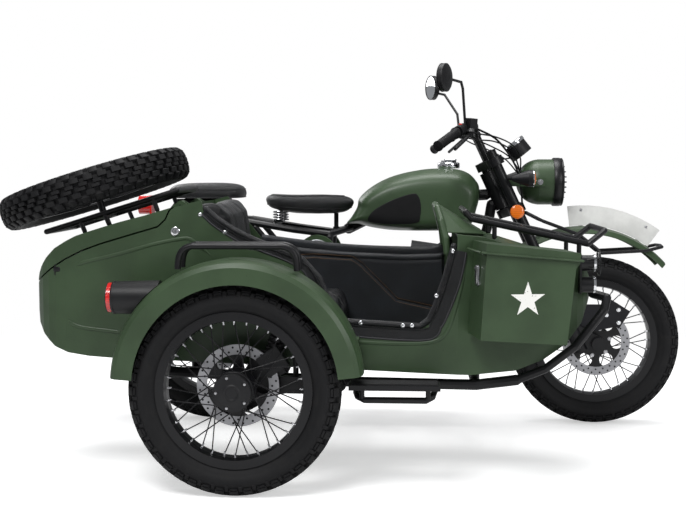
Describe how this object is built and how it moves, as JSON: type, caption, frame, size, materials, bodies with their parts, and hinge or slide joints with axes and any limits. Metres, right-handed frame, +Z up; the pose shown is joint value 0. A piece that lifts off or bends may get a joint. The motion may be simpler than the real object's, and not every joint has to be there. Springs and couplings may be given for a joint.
{
  "type": "sidecar motorcycle",
  "caption": "Solo motorcycle with a boat-shaped passenger sidecar on its right, with turning wheels, steering, a lidded trunk carrying the spare wheel and a lidded side box.",
  "frame": {"origin": "middle of the overall length and width, on the ground", "axes": "+X forward, +Y to the rider's left, +Z up; the sidecar is on the -Y side"},
  "size_m": [2.4601, 1.6508, 1.4029],
  "materials": {
    "green_paint": "matt olive green paint",
    "black_paint": "satin black powder coat",
    "wheel_black": "satin black rims, hubs and spokes",
    "white_paint": "plain white paint",
    "engine_grey": "cast, matt dark grey",
    "chrome": "polished",
    "leather": "black, stitched",
    "black_plastic": "moulded",
    "red_lens": "clear red lens",
    "tyre": "block-tread rubber"
  },
  "bodies": {
    "chassis": {"frame": "black_paint", "head_tube": "black_paint", "engine": "engine_grey", "exhaust": "chrome", "fuel_tank": "green_paint", "filler_cap": "chrome", "rider_seat": "leather", "pillion_seat": "leather", "rear_fender": "green_paint", "tail_lamp": "red_lens", "plate_bracket": "black_paint", "swing_arm": "black_paint", "chain_guard": "black_paint", "shock_absorbers": "black_paint", "side_covers": "green_paint", "footrests": "black_paint", "sidecar_frame": "black_paint", "tub": "green_paint", "cockpit_lining": "leather", "entry_trim": "leather", "seat_back": "leather", "seat_cushion": "leather", "cowl": "green_paint", "nose_rack": "black_paint", "ammo_box": "green_paint", "nose_lamps": "black_paint", "sidecar_fender": "green_paint", "fender_rail": "black_paint", "sidecar_lamp": "black_plastic", "footstep": "black_paint", "trailing_arm": "black_paint"},
    "steering": {"fork": "black_paint", "front_fender": "green_paint", "front_plate": "white_paint", "handlebar": "black_paint", "controls": "black_plastic", "mirrors": "black_plastic", "headlamp": "green_paint", "gauge_pod": "black_plastic", "indicators": "black_plastic", "fender_stays": "green_paint", "front_caliper": "black_paint"},
    "front_wheel": {"front_tyre": "tyre", "front_wheel": "wheel_black"},
    "rear_wheel": {"rear_tyre": "tyre", "rear_wheel": "wheel_black"},
    "sidecar_wheel": {"side_tyre": "tyre", "side_wheel": "wheel_black"},
    "trunk_lid": {"trunk_lid": "green_paint", "wheel_rack": "black_paint", "spare_tyre": "tyre", "spare_wheel": "black_paint"},
    "box_lid": {"box_lid": "green_paint"}
  },
  "joints": [
    {"name": "steering_turn", "type": "hinge", "parent": "chassis", "child": "steering", "pos_m": [0.478, 0.376, 0.98], "axis": [-0.4226, 0, 0.9063], "range_deg": [-35, 35]},
    {"name": "front_wheel_spin", "type": "hinge", "parent": "steering", "child": "front_wheel", "pos_m": [0.9, 0.376, 0.33], "axis": [0, 1, 0], "continuous": true},
    {"name": "rear_wheel_spin", "type": "hinge", "parent": "chassis", "child": "rear_wheel", "pos_m": [-0.614, 0.376, 0.33], "axis": [0, 1, 0], "continuous": true},
    {"name": "sidecar_wheel_spin", "type": "hinge", "parent": "chassis", "child": "sidecar_wheel", "pos_m": [-0.364, -0.741, 0.33], "axis": [0, 1, 0], "continuous": true},
    {"name": "trunk_lid_hinge", "type": "hinge", "parent": "chassis", "child": "trunk_lid", "pos_m": [-0.582, -0.304, 0.896], "axis": [0, 1, 0], "range_deg": [0, 55]},
    {"name": "box_lid_hinge", "type": "hinge", "parent": "chassis", "child": "box_lid", "pos_m": [0.66447, -0.54032, 0.723], "axis": [-0.1736, 0.9848, 0], "range_deg": [0, 100]}
  ]
}
